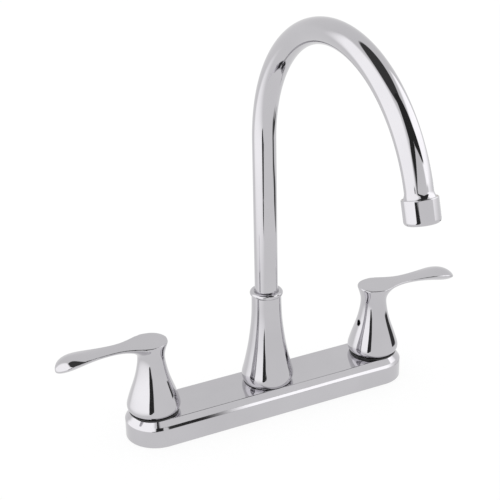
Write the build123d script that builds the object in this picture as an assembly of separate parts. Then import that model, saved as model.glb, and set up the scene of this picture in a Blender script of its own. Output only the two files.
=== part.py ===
from build123d import *
from math import atan, cos, pi, radians, sin, sqrt, tan
import os

# A two-handle kitchen faucet on an eight-inch deck plate, with a gooseneck spout that swivels.
# Sizes are millimetres. The origin is on the deck, under the middle of the plate.
# +X runs along the plate, -Y is the user's side and +Z is up.

# Fits
RUNNING = 0.05           # radial play of a shaft in its own bearing
THREAD_PLAY = 0.05       # radial play of pieces that are screwed or brazed together
LOOSE = 0.3              # gap between pieces that turn past each other

# Deck plate and gasket
HANDLE_SPACING = 203.2   # standard eight-inch distance between the two valves
PLATE_OVERHANG = 23.2    # from a valve's axis to the plate's end
PLATE_END_R = 25.25
PLATE_TOP = 21.2
PLATE_SIDE_TOP = 15.9    # height where the bevel starts
PLATE_BEVEL = 5.8        # how far the bevel runs in
PLATE_WALL = 2.2
PLATE_EDGE_R = 5.0       # rounding between the side and the bevel
PLATE_RIM = 0.3          # gap between the rim and the deck
GASKET_T = 2.0
HOLE_PLAY = 0.4          # radial room round a tower in the plate and a shank in the gasket

# Valve bodies, shanks and spout post
SHANK_R = 10.45          # half-inch straight pipe thread
SHANK_BORE_R = 6.5
SHANK_LENGTH = 55.0      # below the deck
INLET_LENGTH = 17.0      # free thread for the supply coupling
RELIEF_WIDTH = 2.0       # groove between the two stretches of thread
RELIEF_R = 9.6
FLANGE_R = 15.0
FLANGE_T = 5.0
TOWER_R = 12.6
NECK_R = 11.0            # thread above the plate
NECK_TOP = 34.0
SEAT_Z = 8.0             # floor of the cartridge cavity
SEAT_T = 2.5
SEAT_HOLE_R = 4.2
CAVITY_R = 8.6
PORT_Z = 12.5            # height of the cross passages
PORT_R = 4.1
CROSS_TUBE_R = 5.0
CROSS_TUBE_WALL = 0.8
SOCKET_DEPTH = 3.0       # how far a crossover tube enters a tower
POST_R = 10.0
POST_TOP = 74.0

# Nuts, rings and washers on the towers and shanks
RING_T = 1.2             # dark rings between the plate and the handles
HUB_RING_R = 19.8
BASE_RING_T = 0.6        # thin dark ring under the spout's bell
BASE_RING_R = 19.6
PLATE_NUT_FLATS = 27.0
PLATE_NUT_T = 6.0
DECK_CLAMP = 23.0        # distance from the deck face to the mounting washer
MOUNT_WASHER_R = 19.0
MOUNT_WASHER_T = 1.6
MOUNT_NUT_FLATS = 30.0
MOUNT_NUT_T = 11.4

# Quarter-turn cartridge
BARREL_R = 7.6
CHAMBER_R = 6.6
BARREL_LIFT = 2.2        # barrel end above the cavity floor
SEAL_R = 6.3
SEAL_HOLE_R = 4.4
SEAL_T = 2.9
DISC_T = 3.0
DISC_PORT_R = 1.8
DISC_PORT_OUT = 3.4      # port centre from the axis
FIXED_DISC_PLAY = 0.1
THREAD_FROM = 22.0       # barrel below, thread above
HEAD_FLATS = 17.0
HEAD_T = 3.5
WINDOW_W = 6.0
WINDOW_H = 4.0
STEM_R = 4.0
STEM_FOOT_R = 5.0
STEM_COLLAR_R = 6.2
STEM_COLLAR_T = 1.9
STEM_TOP = 57.5
TANG = (9.0, 3.0, 1.5)   # length, width and height of the key on the stem's foot
TANG_PLAY = 0.15
STEM_SEAL_Z = 31.0
STEM_SEAL_R = 0.85       # O-ring section
SPLINE_TEETH = 20
SPLINE_DEPTH = 0.4
SPLINE_FROM = 42.0

# Handles
HUB_BOTTOM_R = 19.0
HUB_WIDE_R = 21.3
HUB_WIDE_Z = 27.0
# Radius and height of the hub's flared side
HUB_CURVE = [(20.3, 32.0), (18.4, 38.0), (14.3, 50.0), (11.5, 62.0), (10.9, 71.0)]
HUB_TOP_R = 13.6
HUB_TOP = 83.0
HUB_WALL = 2.2
HUB_CAVITY_TOP = 57.0
BOSS_R = 7.0
BOSS_BOTTOM = 40.0
SOCKET_TOP = 58.0
SCREW_Z = 50.0
SCREW_R = 2.5
SCREW_LENGTH = 8.0
SCREW_KEY = 2.5          # width across flats of its socket
SCREW_KEY_DEPTH = 3.0
SCREW_GROOVE_R = 3.4     # groove in the stem where the screw bites
SCREW_GROOVE_W = 6.0
SCREW_PAD_R = 4.5
# Lever sections: distance from the hub's axis, half width, drop of the side edges below the hub's top,
# crown above those edges and belly below them
LEVER_SECTIONS = [
    (0.0, 12.8, 0.3, 0.3, 8.7),
    (9.0, 11.7, 0.3, 0.3, 7.9),
    (20.0, 8.5, 0.3, 0.3, 5.6),
    (33.0, 7.4, 0.3, 0.3, 4.4),
    (46.0, 8.6, 0.5, 1.1, 5.0),
    (57.0, 10.2, 1.4, 2.7, 6.0),
    (65.0, 10.5, 2.7, 3.6, 6.4),
    (70.5, 8.9, 4.2, 3.2, 5.4),
    (74.0, 5.9, 5.6, 2.2, 3.8),
    (76.2, 2.8, 6.9, 1.2, 1.9),
]
LEFT_REST_TURN = -1.4    # forward lean of each closed lever, in degrees
RIGHT_REST_TURN = 2.6

# Spout base and collar
BASE_BOTTOM_R = 19.8
BASE_WIDE_R = 21.3
BASE_WIDE_Z = 27.2
# Radius and height of the bell's flared side
BASE_CURVE = [(20.4, 32.0), (18.0, 42.0), (15.95, 52.0), (14.35, 62.0), (13.1, 72.0), (12.3, 82.0)]
BASE_TOP_R = 11.9
BASE_TOP = 98.3
BASE_WALL = 2.2
BASE_FOOT_TOP = 33.0     # solid threaded foot of the bell
BASE_CAVITY_TOP = 78.0
COLLAR_R = 13.3          # the bead at its widest
COLLAR_MID = 100.25
COLLAR_TOP = 101.45      # where the bead comes down to the tube
COLLAR_LIP = 0.25        # flat rim beside the tube
COLLAR_SLEEVE_WALL = 1.25

# Spout
TUBE_R = 9.25
TUBE_WALL = 1.2
RISER_TOP = 228.4
ARC_R = 105.0
ARC_ANGLE = 164.0
OUTLET_RUN = 4.0         # straight end of the tube
FLARE = 1.4              # how much the tube's end widens
SPIGOT_R = 7.55
SPIGOT_LENGTH = 46.0
FITTING_BORE_R = 5.0
SHOULDER_R = 10.0
SHOULDER_T = 4.0
STUB_LENGTH = 12.0
GLIDE_T = 2.0
THRUST_T = 1.0
ORING_R = 0.75           # section of the spout's O-rings
ORING_UP = [12.0, 22.0]  # heights above the spigot's end

# Aerator
ADAPTER_R = 10.8
ADAPTER_T = 8.0
ADAPTER_BORE_R = 7.0
HOUSING_R = 11.9
HOUSING_LENGTH = 16.6
HOUSING_LIP_T = 1.4
HOUSING_MOUTH_R = 8.8
HOUSING_EDGE_R = 2.6
HOUSING_RISE = 0.2       # rim above the adapter's shoulder
AERATOR_WASHER_T = 1.4
SCREEN_T = 1.0
INSERT_PLAY = 0.3        # radial room round the washer, insert and screen
FLOW_HOLE_R = 0.8
FLOW_PITCH = 2.4
FLOW_RINGS = 3

# Places that follow from the sizes
HALF_SPACING = HANDLE_SPACING / 2
PLATE_LENGTH = HANDLE_SPACING + 2 * PLATE_OVERHANG
PLATE_STRAIGHT = PLATE_LENGTH - 2 * PLATE_END_R
PLATE_UNDER = PLATE_TOP - PLATE_WALL
FLANGE_TOP = GASKET_T + FLANGE_T
SHANK_TOP = SEAT_Z - SEAT_T
RING_TOP = PLATE_TOP + RING_T
BASE_RING_TOP = PLATE_TOP + BASE_RING_T
TUBE_SEAT_OUT = TOWER_R - SOCKET_DEPTH
FIXED_DISC_Z = SEAT_Z + SEAL_T
MOVING_DISC_Z = FIXED_DISC_Z + DISC_T
STEM_FOOT_Z = MOVING_DISC_Z + DISC_T
CHAMBER_TOP = THREAD_FROM + STEM_COLLAR_T + RUNNING
HEAD_TOP = NECK_TOP + HEAD_T
HUB_BOTTOM = RING_TOP + LOOSE
SHOULDER_Z = POST_TOP + GLIDE_T
TUBE_BOTTOM = SHOULDER_Z + SHOULDER_T
SLEEVE_BOTTOM = TUBE_BOTTOM + THRUST_T
COLLAR_BORE_R = TUBE_R + RUNNING
SLEEVE_R = COLLAR_BORE_R + COLLAR_SLEEVE_WALL
TUBE_BORE_R = TUBE_R - TUBE_WALL
SPIGOT_END = SHOULDER_Z - SPIGOT_LENGTH
HOUSING_TOP = OUTLET_RUN - HOUSING_RISE
HOUSING_END = HOUSING_TOP + HOUSING_LENGTH
WASHER_Z = OUTLET_RUN + ADAPTER_T
INSERT_Z = WASHER_Z + AERATOR_WASHER_T
SCREEN_Z = HOUSING_END - HOUSING_LIP_T - SCREEN_T
OUTLET = Plane(
    origin=(0, -ARC_R * (1 - cos(radians(ARC_ANGLE))), RISER_TOP + ARC_R * sin(radians(ARC_ANGLE))),
    x_dir=(1, 0, 0),
    z_dir=(0, -sin(radians(ARC_ANGLE)), cos(radians(ARC_ANGLE))),
)


# Basic shapes
def rod(radius, low, high):
    return Pos(0, 0, low) * extrude(Circle(radius), high - low)


def ring(radius, bore, low, high):
    return Pos(0, 0, low) * extrude(Circle(radius) - Circle(bore), high - low)


def hex_ring(flats, bore, low, high):
    return Pos(0, 0, low) * extrude(RegularPolygon(flats / sqrt(3), 6) - Circle(bore), high - low)


def rod_x(radius, start, end, height):
    return Pos(start, 0, height) * Rot(0, 90, 0) * extrude(Circle(radius), end - start)


def turned(edges):
    return revolve(make_face(edges), Axis.Z)


def bell(bottom_r, bottom, wide_r, wide_z, curve, top_r, top):
    """Solid of revolution: a rounded lower edge, then a flared side up to a flat top."""
    points = [(r, 0, z) for r, z in [(wide_r, wide_z)] + curve + [(top_r, top)]]
    side = Spline(points, tangents=[(0, 0, 1), (points[-1][0] - points[-2][0], 0, top - points[-2][2])])
    return turned([
        Line((0, 0, bottom), (bottom_r, 0, bottom)),
        TangentArc((wide_r, 0, wide_z), (bottom_r, 0, bottom), tangent=(0, 0, -1)),
        side,
        Line((top_r, 0, top), (0, 0, top)),
        Line((0, 0, top), (0, 0, bottom)),
    ])


def radius_at(side, height):
    """Radius of a flared side at a height, on the straight line between its points."""
    for (r_low, low), (r_high, high) in zip(side, side[1:]):
        if low <= height <= high:
            return r_low + (r_high - r_low) * (height - low) / (high - low)


def hollow(side, wall, low, high):
    """Space inside a flared side, a wall's thickness in from it."""
    heights = [low] + [z for r, z in side if low < z < high] + [high]
    points = [(radius_at(side, z) - wall, 0, z) for z in heights]
    return turned(Polyline([(0, 0, low)] + points + [(0, 0, high)], close=True))


# Deck plate and gasket
def plate_block(radius, bottom, side_top, top, bevel):
    slot = SlotCenterToCenter(PLATE_STRAIGHT, 2 * radius)
    top_slot = SlotCenterToCenter(PLATE_STRAIGHT, 2 * (radius - bevel))
    side = Pos(0, 0, bottom) * extrude(slot, side_top - bottom)
    return side + loft([Pos(0, 0, side_top) * slot, Pos(0, 0, top) * top_slot], ruled=True)


def deck_plate():
    slope = atan((PLATE_TOP - PLATE_SIDE_TOP) / PLATE_BEVEL)
    shell = plate_block(PLATE_END_R, PLATE_RIM, PLATE_SIDE_TOP, PLATE_TOP, PLATE_BEVEL)
    edge = shell.edges().filter_by_position(Axis.Z, PLATE_SIDE_TOP, PLATE_SIDE_TOP)
    shell = fillet(edge, PLATE_EDGE_R)
    shell -= plate_block(
        PLATE_END_R - PLATE_WALL,
        PLATE_RIM,
        PLATE_SIDE_TOP - PLATE_WALL * tan((pi / 2 - slope) / 2),
        PLATE_UNDER,
        PLATE_BEVEL - PLATE_WALL + PLATE_WALL * tan(slope / 2),
    )
    for x in (-HALF_SPACING, 0, HALF_SPACING):
        shell -= Pos(x, 0, 0) * rod(NECK_R + HOLE_PLAY, PLATE_UNDER, PLATE_TOP)
    return shell


def base_gasket():
    radius = PLATE_END_R - PLATE_WALL - LOOSE
    gasket = extrude(SlotCenterToCenter(PLATE_STRAIGHT, 2 * radius), GASKET_T)
    for x in (-HALF_SPACING, HALF_SPACING):
        gasket -= Pos(x, 0, 0) * rod(SHANK_R + HOLE_PLAY, 0, GASKET_T)
    return gasket


# Waterway
def tower():
    """Flange on the gasket, tower under the plate and threaded neck above it."""
    body = rod(FLANGE_R, GASKET_T, FLANGE_TOP)
    body += rod(TOWER_R, FLANGE_TOP, PLATE_UNDER)
    return body + rod(NECK_R, PLATE_UNDER, NECK_TOP)


def side_port():
    """Cross passage towards +X, with a socket for the crossover tube."""
    passage = rod_x(PORT_R, 0, TOWER_R, PORT_Z)
    return passage + rod_x(CROSS_TUBE_R + THREAD_PLAY, TUBE_SEAT_OUT, TOWER_R, PORT_Z)


def valve_body():
    body = tower() - rod(SHANK_R + THREAD_PLAY, GASKET_T, SHANK_TOP)
    body -= rod(SEAT_HOLE_R, SHANK_TOP, SEAT_Z)
    body -= rod(CAVITY_R, SEAT_Z, NECK_TOP)
    return body - side_port()


def shank():
    """Threaded pipe, screwed into the valve body's flange from below."""
    pipe = ring(SHANK_R, SHANK_BORE_R, -SHANK_LENGTH, SHANK_TOP)
    groove_low = INLET_LENGTH - SHANK_LENGTH
    return pipe - ring(SHANK_R, RELIEF_R, groove_low, groove_low + RELIEF_WIDTH)


def spout_post():
    post = tower() + rod(POST_R, NECK_TOP, POST_TOP)
    post -= rod(SPIGOT_R + RUNNING, SEAT_Z, POST_TOP)
    return post - side_port() - Rot(0, 0, 180) * side_port()


def crossover_tube():
    start = TUBE_SEAT_OUT
    end = HALF_SPACING - TUBE_SEAT_OUT
    tube = rod_x(CROSS_TUBE_R, start, end, PORT_Z)
    return tube - rod_x(CROSS_TUBE_R - CROSS_TUBE_WALL, start, end, PORT_Z)


# Rings, nuts and washers
def hub_ring():
    return ring(HUB_RING_R, NECK_R + HOLE_PLAY, PLATE_TOP, RING_TOP)


def spout_base_ring():
    return ring(BASE_RING_R, NECK_R + HOLE_PLAY, PLATE_TOP, BASE_RING_TOP)


def plate_nut():
    return hex_ring(PLATE_NUT_FLATS, NECK_R + THREAD_PLAY, RING_TOP, RING_TOP + PLATE_NUT_T)


def mounting_washer():
    return ring(MOUNT_WASHER_R, SHANK_R + HOLE_PLAY, -DECK_CLAMP - MOUNT_WASHER_T, -DECK_CLAMP)


def mounting_nut():
    top = -DECK_CLAMP - MOUNT_WASHER_T
    return hex_ring(MOUNT_NUT_FLATS, SHANK_R + THREAD_PLAY, top - MOUNT_NUT_T, top)


# Cartridge
def disc_ports(turn, low, high):
    ports = [Rot(0, 0, turn + a) * Pos(DISC_PORT_OUT, 0, 0) * rod(DISC_PORT_R, low, high) for a in (0, 180)]
    return ports[0] + ports[1]


def seat_seal():
    return ring(SEAL_R, SEAL_HOLE_R, SEAT_Z, FIXED_DISC_Z)


def fixed_disc():
    disc = rod(CHAMBER_R - FIXED_DISC_PLAY, FIXED_DISC_Z, MOVING_DISC_Z)
    return disc - disc_ports(0, FIXED_DISC_Z, MOVING_DISC_Z)


def moving_disc():
    length, width, height = TANG
    disc = rod(CHAMBER_R - LOOSE, MOVING_DISC_Z, STEM_FOOT_Z)
    disc -= disc_ports(90, MOVING_DISC_Z, STEM_FOOT_Z)
    slot = Box(length + 2 * TANG_PLAY, width + 2 * TANG_PLAY, height + TANG_PLAY)
    return disc - Pos(0, 0, STEM_FOOT_Z - (height + TANG_PLAY) / 2) * slot


def cartridge_housing():
    body = rod(BARREL_R, SEAT_Z + BARREL_LIFT, THREAD_FROM)
    body += rod(CAVITY_R - THREAD_PLAY, THREAD_FROM, NECK_TOP)
    body += hex_ring(HEAD_FLATS, STEM_R + RUNNING, NECK_TOP, HEAD_TOP)
    body -= rod(CHAMBER_R, SEAT_Z + BARREL_LIFT, CHAMBER_TOP)
    body -= rod(STEM_R + RUNNING, CHAMBER_TOP, HEAD_TOP)
    window = Box(2 * CAVITY_R, WINDOW_W, WINDOW_H)
    return body - Pos(0, 0, THREAD_FROM - WINDOW_H / 2) * window


def spline_blank():
    points = []
    for i in range(2 * SPLINE_TEETH):
        radius = STEM_R - SPLINE_DEPTH * (i % 2)
        angle = pi * i / SPLINE_TEETH
        points.append((radius * cos(angle), radius * sin(angle)))
    return Pos(0, 0, SPLINE_FROM) * extrude(make_face(Polyline(points, close=True)), STEM_TOP - SPLINE_FROM)


def cartridge_stem():
    length, width, height = TANG
    stem = Pos(0, 0, STEM_FOOT_Z - height / 2) * Box(length, width, height)
    stem += rod(STEM_FOOT_R, STEM_FOOT_Z, THREAD_FROM)
    stem += rod(STEM_COLLAR_R, THREAD_FROM, THREAD_FROM + STEM_COLLAR_T)
    stem += rod(STEM_R, THREAD_FROM + STEM_COLLAR_T, SPLINE_FROM) + spline_blank()
    floor = STEM_R - 2 * STEM_SEAL_R
    stem -= ring(STEM_R, floor, STEM_SEAL_Z - STEM_SEAL_R, STEM_SEAL_Z + STEM_SEAL_R)
    return stem - ring(STEM_R, SCREW_GROOVE_R, SCREW_Z - SCREW_GROOVE_W / 2, SCREW_Z + SCREW_GROOVE_W / 2)


def stem_o_ring():
    return Pos(0, 0, STEM_SEAL_Z) * Torus(STEM_R - STEM_SEAL_R, STEM_SEAL_R)


# Handle, with its lever along +X
def lever():
    faces = []
    for out, half, drop, crown, belly in LEVER_SECTIONS:
        z = HUB_TOP - drop
        left, right = (out, half, z), (out, -half, z)
        faces.append(make_face([
            ThreePointArc(left, (out, 0, z + crown), right),
            ThreePointArc(right, (out, 0, z - belly), left),
        ]))
    return loft(faces)


def handle():
    side = [(HUB_BOTTOM_R, HUB_BOTTOM), (HUB_WIDE_R, HUB_WIDE_Z)] + HUB_CURVE + [(HUB_TOP_R, HUB_TOP)]
    space = hollow(side, HUB_WALL, HUB_BOTTOM, HUB_CAVITY_TOP)
    space -= rod(BOSS_R, BOSS_BOTTOM, SOCKET_TOP)
    space -= rod_x(SCREW_PAD_R, -HUB_WIDE_R, 0, SCREW_Z)
    body = bell(HUB_BOTTOM_R, HUB_BOTTOM, HUB_WIDE_R, HUB_WIDE_Z, HUB_CURVE, HUB_TOP_R, HUB_TOP)
    body = body + lever() - space
    body -= rod(STEM_R + THREAD_PLAY, BOSS_BOTTOM, SOCKET_TOP)
    return body - rod_x(SCREW_R + THREAD_PLAY, -HUB_WIDE_R, 0, SCREW_Z)


def set_screw():
    tip = -SCREW_GROOVE_R - THREAD_PLAY
    screw = rod_x(SCREW_R, tip - SCREW_LENGTH, tip, SCREW_Z)
    key = Rot(0, 90, 0) * extrude(RegularPolygon(SCREW_KEY / sqrt(3), 6), SCREW_KEY_DEPTH)
    return screw - Pos(tip - SCREW_LENGTH, 0, SCREW_Z) * key


# Spout base and collar
def spout_base():
    body = bell(BASE_BOTTOM_R, BASE_RING_TOP, BASE_WIDE_R, BASE_WIDE_Z, BASE_CURVE, BASE_TOP_R, BASE_TOP)
    side = [(BASE_WIDE_R, BASE_WIDE_Z)] + BASE_CURVE + [(BASE_TOP_R, BASE_TOP)]
    body -= hollow(side, BASE_WALL, BASE_FOOT_TOP, BASE_CAVITY_TOP)
    body -= rod(NECK_R + THREAD_PLAY, BASE_RING_TOP, BASE_FOOT_TOP)
    return body - rod(SLEEVE_R + THREAD_PLAY, POST_TOP, BASE_TOP)


def spout_collar():
    rim = COLLAR_BORE_R + COLLAR_LIP
    return turned([
        Line((COLLAR_BORE_R, 0, SLEEVE_BOTTOM), (SLEEVE_R, 0, SLEEVE_BOTTOM)),
        Line((SLEEVE_R, 0, SLEEVE_BOTTOM), (SLEEVE_R, 0, BASE_TOP)),
        Line((SLEEVE_R, 0, BASE_TOP), (BASE_TOP_R, 0, BASE_TOP)),
        ThreePointArc((BASE_TOP_R, 0, BASE_TOP), (COLLAR_R, 0, COLLAR_MID), (rim, 0, COLLAR_TOP)),
        Line((rim, 0, COLLAR_TOP), (COLLAR_BORE_R, 0, COLLAR_TOP)),
        Line((COLLAR_BORE_R, 0, COLLAR_TOP), (COLLAR_BORE_R, 0, SLEEVE_BOTTOM)),
    ])


def glide_washer():
    return ring(POST_R, SPIGOT_R + LOOSE, POST_TOP, SHOULDER_Z)


def thrust_washer():
    return ring(SLEEVE_R, TUBE_R + LOOSE, TUBE_BOTTOM, SLEEVE_BOTTOM)


# Spout
def tube_sweep(radius):
    riser = Line((0, 0, TUBE_BOTTOM), (0, 0, RISER_TOP))
    bend = CenterArc((0, 0, 0), ARC_R, 180, -ARC_ANGLE)
    frame = Plane(origin=(0, -ARC_R, RISER_TOP), x_dir=(0, -1, 0), z_dir=(-1, 0, 0))
    run = Line(OUTLET.origin, OUTLET.origin + OUTLET.z_dir * OUTLET_RUN)
    path = Wire([riser, frame * bend, run])
    return sweep(Pos(0, 0, TUBE_BOTTOM) * Circle(radius), path=path)


def spout_tube():
    flare = OUTLET * turned([
        Line((0, 0, 0), (TUBE_R, 0, 0)),
        TangentArc((TUBE_R, 0, 0), (TUBE_R + FLARE, 0, OUTLET_RUN), tangent=(0, 0, 1)),
        Line((TUBE_R + FLARE, 0, OUTLET_RUN), (0, 0, OUTLET_RUN)),
        Line((0, 0, OUTLET_RUN), (0, 0, 0)),
    ])
    return tube_sweep(TUBE_R) + flare - tube_sweep(TUBE_BORE_R)


def oring_heights():
    return [SPIGOT_END + up for up in ORING_UP]


def spout_end_fitting():
    body = rod(SPIGOT_R, SPIGOT_END, SHOULDER_Z) + rod(SHOULDER_R, SHOULDER_Z, TUBE_BOTTOM)
    stub_top = TUBE_BOTTOM + STUB_LENGTH
    body += rod(TUBE_BORE_R - THREAD_PLAY, TUBE_BOTTOM, stub_top)
    body -= rod(FITTING_BORE_R, SPIGOT_END, stub_top)
    for z in oring_heights():
        body -= ring(SPIGOT_R, SPIGOT_R - 2 * ORING_R, z - ORING_R, z + ORING_R)
    return body


def spout_o_rings():
    return Compound([Pos(0, 0, z) * Torus(SPIGOT_R - ORING_R, ORING_R) for z in oring_heights()])


# Aerator, along the outlet's own axis
def flow_holes(low, high):
    """One hole in the middle and six more in each ring than in the one inside it."""
    holes = rod(FLOW_HOLE_R, low, high)
    for i in range(1, FLOW_RINGS + 1):
        for k in range(6 * i):
            holes += Rot(0, 0, 60 * k / i) * Pos(i * FLOW_PITCH, 0, 0) * rod(FLOW_HOLE_R, low, high)
    return holes


def outlet_adapter():
    body = ring(ADAPTER_R, ADAPTER_BORE_R, OUTLET_RUN, WASHER_Z)
    return OUTLET * (body + ring(TUBE_BORE_R - THREAD_PLAY, ADAPTER_BORE_R, 0, OUTLET_RUN))


def aerator_housing():
    body = rod(HOUSING_R, HOUSING_TOP, HOUSING_END)
    body = fillet(body.edges().group_by(Axis.Z)[-1], HOUSING_EDGE_R)
    body -= rod(ADAPTER_R + THREAD_PLAY, HOUSING_TOP, HOUSING_END - HOUSING_LIP_T)
    return OUTLET * (body - rod(HOUSING_MOUTH_R, HOUSING_END - HOUSING_LIP_T, HOUSING_END))


def aerator_washer():
    return OUTLET * ring(ADAPTER_R - INSERT_PLAY, ADAPTER_BORE_R, WASHER_Z, INSERT_Z)


def aerator_insert():
    body = rod(ADAPTER_R - INSERT_PLAY, INSERT_Z, SCREEN_Z)
    return OUTLET * (body - flow_holes(INSERT_Z, SCREEN_Z))


def aerator_screen():
    body = rod(ADAPTER_R - INSERT_PLAY, SCREEN_Z, SCREEN_Z + SCREEN_T)
    return OUTLET * (body - flow_holes(SCREEN_Z, SCREEN_Z + SCREEN_T))


# Assembly: a left and a right set, and the pieces in the middle
def side_pieces():
    fixed = {
        "valve_body": valve_body(),
        "shank": shank(),
        "hub_ring": hub_ring(),
        "plate_nut": plate_nut(),
        "cartridge_housing": cartridge_housing(),
        "fixed_disc": fixed_disc(),
        "seat_seal": seat_seal(),
        "mounting_washer": mounting_washer(),
        "mounting_nut": mounting_nut(),
    }
    turning = {
        "handle": handle(),
        "set_screw": set_screw(),
        "cartridge_stem": cartridge_stem(),
        "moving_disc": moving_disc(),
        "stem_o_ring": stem_o_ring(),
    }
    return fixed, turning


def assembly():
    parts = {
        "base_gasket": base_gasket(),
        "deck_plate": deck_plate(),
        "left_crossover_tube": Rot(0, 0, 180) * crossover_tube(),
        "right_crossover_tube": crossover_tube(),
        "spout_post": spout_post(),
        "spout_base_ring": spout_base_ring(),
        "spout_base": spout_base(),
        "spout_collar": spout_collar(),
        "spout_glide_washer": glide_washer(),
        "spout_thrust_washer": thrust_washer(),
        "spout_tube": spout_tube(),
        "spout_end_fitting": spout_end_fitting(),
        "spout_o_rings": spout_o_rings(),
        "outlet_adapter": outlet_adapter(),
        "aerator_housing": aerator_housing(),
        "aerator_washer": aerator_washer(),
        "aerator_insert": aerator_insert(),
        "aerator_screen": aerator_screen(),
    }
    fixed, turning = side_pieces()
    sides = (
        ("left", Pos(-HALF_SPACING, 0, 0), 0, 180 + LEFT_REST_TURN),
        ("right", Pos(HALF_SPACING, 0, 0), 180, -RIGHT_REST_TURN),
    )
    for side, place, port_turn, lever_turn in sides:
        for name, piece in fixed.items():
            parts[f"{side}_{name}"] = place * Rot(0, 0, port_turn) * piece
        for name, piece in turning.items():
            parts[f"{side}_{name}"] = place * Rot(0, 0, lever_turn) * piece
    return parts


os.makedirs("parts", exist_ok=True)
for name, piece in assembly().items():
    export_step(piece, f"parts/{name}.step")
    print(f"{name}: {len(piece.solids())} solid(s), {piece.volume:.1f} mm3")
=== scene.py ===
# %% [markdown]
# # A two-handle kitchen faucet
# The faucet has a deck plate, two lever handles and a gooseneck spout, all in polished chrome.
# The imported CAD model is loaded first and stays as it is: it gives every size, place and joint.
# Chrome shows each facet of a mesh as a kink in its reflections, so the outer pieces are made
# again here as smooth meshes. Each one stands for its CAD node and rides on the same body.

# %% Load the frame
from math import atan2, cos, hypot, pi, radians, sin

import bmesh
import bpy
import numpy as np
from mathutils import Matrix, Vector


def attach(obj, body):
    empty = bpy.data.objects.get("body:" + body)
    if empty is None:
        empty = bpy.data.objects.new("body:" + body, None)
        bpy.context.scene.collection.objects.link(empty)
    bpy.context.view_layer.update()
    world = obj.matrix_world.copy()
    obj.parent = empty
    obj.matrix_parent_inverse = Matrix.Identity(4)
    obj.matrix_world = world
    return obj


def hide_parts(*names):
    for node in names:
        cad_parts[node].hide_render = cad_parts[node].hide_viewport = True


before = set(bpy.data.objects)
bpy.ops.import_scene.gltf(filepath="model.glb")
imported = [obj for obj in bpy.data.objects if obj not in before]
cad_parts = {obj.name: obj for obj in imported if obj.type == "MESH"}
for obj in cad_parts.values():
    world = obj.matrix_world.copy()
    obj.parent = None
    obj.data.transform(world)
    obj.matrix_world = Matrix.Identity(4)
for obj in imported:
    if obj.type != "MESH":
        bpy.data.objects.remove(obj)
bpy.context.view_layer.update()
MM = 0.001

# %% [markdown]
# ## The camera
# The photograph looks down on the faucet from the front left with a long lens. A camera can be
# turned by angles or aimed by a constraint. Here its three axes are written as the columns of its
# matrix, right, up and backwards, because a view that is fitted to a picture comes as such axes.

# %% Camera
CAMERA_PLACE = (-0.40986, -0.79454, 0.53965)
CAMERA_RIGHT = (0.891129, -0.453379, -0.018357)
CAMERA_UP = (0.20105, 0.358256, 0.911719)
CAMERA_BACK = (-0.406778, -0.81615, 0.410404)
CAMERA_LENS, CAMERA_SENSOR = 89.597, 36.0   # in mm
CAMERA_NEAR = 0.05

camera = bpy.data.objects.new("camera", bpy.data.cameras.new("camera"))
camera.data.sensor_width = CAMERA_SENSOR
camera.data.lens = CAMERA_LENS
camera.data.clip_start = CAMERA_NEAR
columns = Matrix((CAMERA_RIGHT, CAMERA_UP, CAMERA_BACK)).transposed().to_4x4()
camera.matrix_world = Matrix.Translation(CAMERA_PLACE) @ columns
bpy.context.collection.objects.link(camera)
bpy.context.scene.camera = camera
print("camera lens:", camera.data.lens, "mm")

# %% [markdown]
# ## Finishes
# Chrome is the finish that shows: a grey mirror, with a ripple that is only as strong as polishing
# leaves. A picture of scratches would need unwrapped pieces, so every finish here is a Principled
# shader with noise on Object coordinates. One noise shifts the colour between two close tones, and
# a finer one shifts the roughness and lifts a slight bump.

# %% Helper: a finish with two tones, a roughness range and a bump
TONE_SPREAD = 4          # spots of tone are this many times as wide as the grain
TONE_ENDS = (0.3, 0.7)   # noise at which the darker and the lighter tone are reached
TONE_DETAIL, GRAIN_DETAIL = 3.0, 4.0


def finish(name, dark, light, metallic, roughness, grain, bump):
    """grain: spots of noise to the metre. bump: height of the surface's noise in mm."""
    material = bpy.data.materials.new(name)
    material.use_nodes = True
    tree = material.node_tree
    shader = tree.nodes["Principled BSDF"]
    shader.inputs["Metallic"].default_value = metallic
    place = tree.nodes.new("ShaderNodeTexCoord")

    tone = tree.nodes.new("ShaderNodeTexNoise")
    tone.inputs["Scale"].default_value = grain / TONE_SPREAD
    tone.inputs["Detail"].default_value = TONE_DETAIL
    tree.links.new(place.outputs["Object"], tone.inputs["Vector"])
    ramp = tree.nodes.new("ShaderNodeValToRGB")
    for stop, position, colour in zip(ramp.color_ramp.elements, TONE_ENDS, (dark, light)):
        stop.position = position
        stop.color = (*colour, 1)
    tree.links.new(tone.outputs["Fac"], ramp.inputs["Fac"])
    tree.links.new(ramp.outputs["Color"], shader.inputs["Base Color"])

    speck = tree.nodes.new("ShaderNodeTexNoise")
    speck.inputs["Scale"].default_value = grain
    speck.inputs["Detail"].default_value = GRAIN_DETAIL
    tree.links.new(place.outputs["Object"], speck.inputs["Vector"])
    spread = tree.nodes.new("ShaderNodeMapRange")
    spread.inputs["To Min"].default_value = roughness[0]
    spread.inputs["To Max"].default_value = roughness[1]
    tree.links.new(speck.outputs["Fac"], spread.inputs["Value"])
    tree.links.new(spread.outputs["Result"], shader.inputs["Roughness"])

    lift = tree.nodes.new("ShaderNodeBump")
    lift.inputs["Distance"].default_value = bump * MM
    tree.links.new(speck.outputs["Fac"], lift.inputs["Height"])
    tree.links.new(lift.outputs["Normal"], shader.inputs["Normal"])
    return material


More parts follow.
